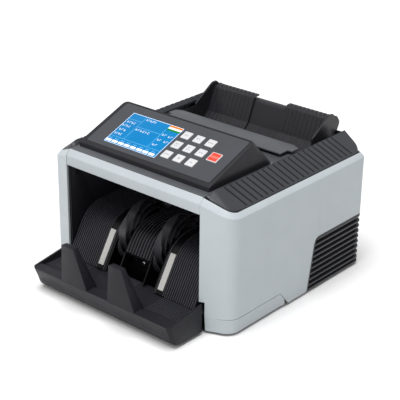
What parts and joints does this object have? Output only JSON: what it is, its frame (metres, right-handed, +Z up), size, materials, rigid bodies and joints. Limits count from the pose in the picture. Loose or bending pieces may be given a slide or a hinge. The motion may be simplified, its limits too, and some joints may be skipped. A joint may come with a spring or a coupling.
{
  "type": "banknote counting machine",
  "caption": "Desktop banknote counting machine with a tilted display head, a top hopper with sliding guides and a front stacker tray with finger wheels.",
  "frame": {"origin": "bottom centre of the bounding box, on the plane of the feet", "axes": "+X across to the machine's right seen from the front, +Y from the front stacker to the rear panel, +Z up"},
  "size_m": [0.28, 0.336, 0.2002],
  "materials": {
    "shell_grey": "fine satin moulded plastic",
    "charcoal": "fine texture moulded plastic",
    "black_plastic": "fine texture moulded plastic",
    "key_white": "satin key cap",
    "key_red": "satin key cap",
    "display": "clear hard coat over the lit display",
    "off_white": "plain moulded plastic",
    "rubber": "ground rubber",
    "steel": "ground steel",
    "board_green": "solder mask over glass fibre"
  },
  "bodies": {
    "chassis": {"base_pan": "shell_grey", "left_side_cover": "shell_grey", "right_side_cover": "shell_grey", "front_bezel": "shell_grey", "left_shoulder_panel": "charcoal", "right_shoulder_panel": "charcoal", "top_deck": "charcoal", "head_housing": "charcoal", "head_fascia": "charcoal", "lcd_screen": "display", "bridge_cover": "charcoal", "rear_panel": "black_plastic", "left_vent_grille": "black_plastic", "right_vent_grille": "black_plastic", "power_inlet": "black_plastic", "left_frame_plate": "black_plastic", "right_frame_plate": "black_plastic", "stacker_back_plate": "black_plastic", "left_wear_strip": "off_white", "right_wear_strip": "off_white", "stacker_tray": "charcoal", "hopper_bed": "charcoal", "guide_rail": "steel", "main_motor": "steel", "drive_belt": "rubber", "power_supply": "steel", "control_board": "board_green", "sensor_bar": "black_plastic", "left_front_foot": "rubber", "right_front_foot": "rubber", "left_rear_foot": "rubber", "right_rear_foot": "rubber"},
    "key_1_1_cap": {"key_1_1": "key_white"},
    "key_1_2_cap": {"key_1_2": "key_white"},
    "key_1_3_cap": {"key_1_3": "key_white"},
    "key_2_1_cap": {"key_2_1": "key_white"},
    "key_2_2_cap": {"key_2_2": "key_white"},
    "key_2_3_cap": {"key_2_3": "key_white"},
    "key_3_1_cap": {"key_3_1": "key_white"},
    "key_3_2_cap": {"key_3_2": "key_white"},
    "key_3_3_cap": {"key_3_3": "key_white"},
    "start_key_cap": {"start_key": "key_red"},
    "mains_rocker": {"power_rocker": "black_plastic"},
    "left_guide": {"left_hopper_guide": "charcoal", "left_guide_rack": "off_white"},
    "right_guide": {"right_hopper_guide": "charcoal", "right_guide_rack": "off_white"},
    "pinion": {"guide_pinion": "off_white"},
    "stacker_wheels": {"stacker_shaft": "steel", "stacker_pulley": "steel", "left_stacker_wheel": "black_plastic", "right_stacker_wheel": "black_plastic"},
    "feed_rollers": {"feed_shaft": "steel", "feed_pulley": "steel", "left_feed_roller": "rubber", "right_feed_roller": "rubber"},
    "pickup_rollers": {"pickup_shaft": "steel", "left_pickup_roller": "rubber", "right_pickup_roller": "rubber"},
    "motor_rotor": {"motor_pulley": "steel"}
  },
  "joints": [
    {"name": "key_1_1_press", "type": "slide", "parent": "chassis", "child": "key_1_1_cap", "axis": [0, 0.3584, -0.9336], "range_m": [0, 0.0005], "stiffness_N_per_m": 600},
    {"name": "key_1_2_press", "type": "slide", "parent": "chassis", "child": "key_1_2_cap", "axis": [0, 0.3584, -0.9336], "range_m": [0, 0.0005], "stiffness_N_per_m": 600},
    {"name": "key_1_3_press", "type": "slide", "parent": "chassis", "child": "key_1_3_cap", "axis": [0, 0.3584, -0.9336], "range_m": [0, 0.0005], "stiffness_N_per_m": 600},
    {"name": "key_2_1_press", "type": "slide", "parent": "chassis", "child": "key_2_1_cap", "axis": [0, 0.3584, -0.9336], "range_m": [0, 0.0005], "stiffness_N_per_m": 600},
    {"name": "key_2_2_press", "type": "slide", "parent": "chassis", "child": "key_2_2_cap", "axis": [0, 0.3584, -0.9336], "range_m": [0, 0.0005], "stiffness_N_per_m": 600},
    {"name": "key_2_3_press", "type": "slide", "parent": "chassis", "child": "key_2_3_cap", "axis": [0, 0.3584, -0.9336], "range_m": [0, 0.0005], "stiffness_N_per_m": 600},
    {"name": "key_3_1_press", "type": "slide", "parent": "chassis", "child": "key_3_1_cap", "axis": [0, 0.3584, -0.9336], "range_m": [0, 0.0005], "stiffness_N_per_m": 600},
    {"name": "key_3_2_press", "type": "slide", "parent": "chassis", "child": "key_3_2_cap", "axis": [0, 0.3584, -0.9336], "range_m": [0, 0.0005], "stiffness_N_per_m": 600},
    {"name": "key_3_3_press", "type": "slide", "parent": "chassis", "child": "key_3_3_cap", "axis": [0, 0.3584, -0.9336], "range_m": [0, 0.0005], "stiffness_N_per_m": 600},
    {"name": "start_key_press", "type": "slide", "parent": "chassis", "child": "start_key_cap", "axis": [0, 0.3584, -0.9336], "range_m": [0, 0.0005], "stiffness_N_per_m": 600},
    {"name": "mains_rocker_tilt", "type": "hinge", "parent": "chassis", "child": "mains_rocker", "pos_m": [-0.023, 0.1595, 0.041], "axis": [1, 0, 0], "range_deg": [0, 20]},
    {"name": "left_guide_slide", "type": "slide", "parent": "chassis", "child": "left_guide", "axis": [1, 0, 0], "range_m": [0, 0.022]},
    {"name": "right_guide_slide", "type": "slide", "parent": "chassis", "child": "right_guide", "axis": [1, 0, 0], "range_m": [-0.022, 0]},
    {"name": "pinion_turn", "type": "hinge", "parent": "chassis", "child": "pinion", "pos_m": [0, 0.15, 0.135], "axis": [0, 1, 0], "range_deg": [0, 158]},
    {"name": "stacker_spin", "type": "hinge", "parent": "chassis", "child": "stacker_wheels", "pos_m": [0, -0.052, 0.062], "axis": [1, 0, 0], "continuous": true},
    {"name": "feed_spin", "type": "hinge", "parent": "chassis", "child": "feed_rollers", "pos_m": [0, 0.082, 0.106], "axis": [1, 0, 0], "continuous": true},
    {"name": "pickup_spin", "type": "hinge", "parent": "chassis", "child": "pickup_rollers", "pos_m": [0, 0.1134, 0.1115], "axis": [1, 0, 0], "continuous": true},
    {"name": "motor_spin", "type": "hinge", "parent": "chassis", "child": "motor_rotor", "pos_m": [0, 0.016, 0.045], "axis": [1, 0, 0], "continuous": true}
  ],
  "couplings": [
    {"joint": "right_guide_slide", "follows": "left_guide_slide", "ratio": -1},
    {"joint": "pinion_turn", "follows": "left_guide_slide", "rad_per_m": 125},
    {"joint": "feed_spin", "follows": "stacker_spin", "ratio": 1.2857},
    {"joint": "pickup_spin", "follows": "stacker_spin", "ratio": 2},
    {"joint": "motor_spin", "follows": "stacker_spin", "ratio": 2.25}
  ]
}
